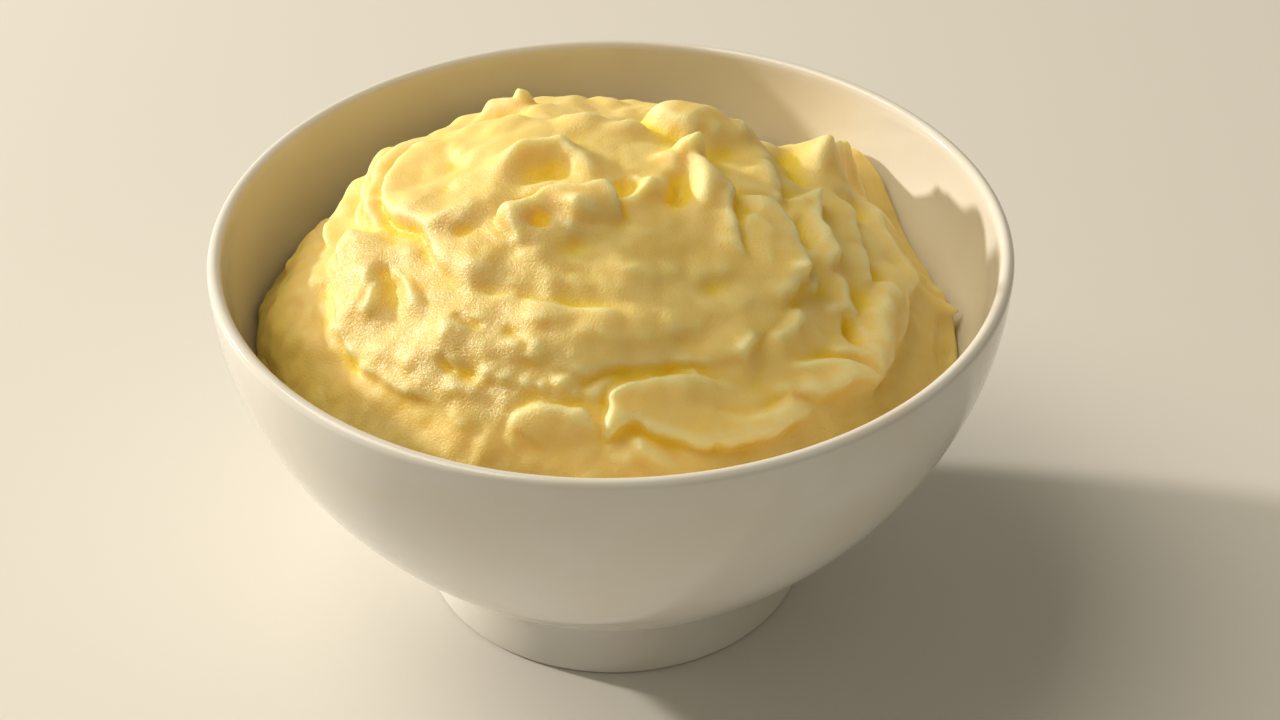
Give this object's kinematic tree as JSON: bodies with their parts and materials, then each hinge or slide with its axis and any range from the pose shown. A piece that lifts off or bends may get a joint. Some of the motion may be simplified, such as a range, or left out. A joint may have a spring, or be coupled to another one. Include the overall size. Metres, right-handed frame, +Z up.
{
  "type": "mashed potato in a footed bowl",
  "caption": "Heap of creamy swirled mashed potato, with soft folds and a drawn-up curl, in a white glazed bowl on a foot ring.",
  "frame": {"origin": "on the bowl's axis, in the plane that the foot ring stands on", "axes": "+Z up along the bowl's axis, -Y towards the eater, +X to the eater's right"},
  "size_m": [0.16, 0.16, 0.1041],
  "materials": {
    "glaze": "smooth white glaze, bare and matt on the foot ring's resting face",
    "potato": "moist creamy yellow mash, deeper yellow in its folds"
  },
  "bodies": {
    "root": {"bowl": "glaze", "mash": "potato"}
  },
  "joints": []
}
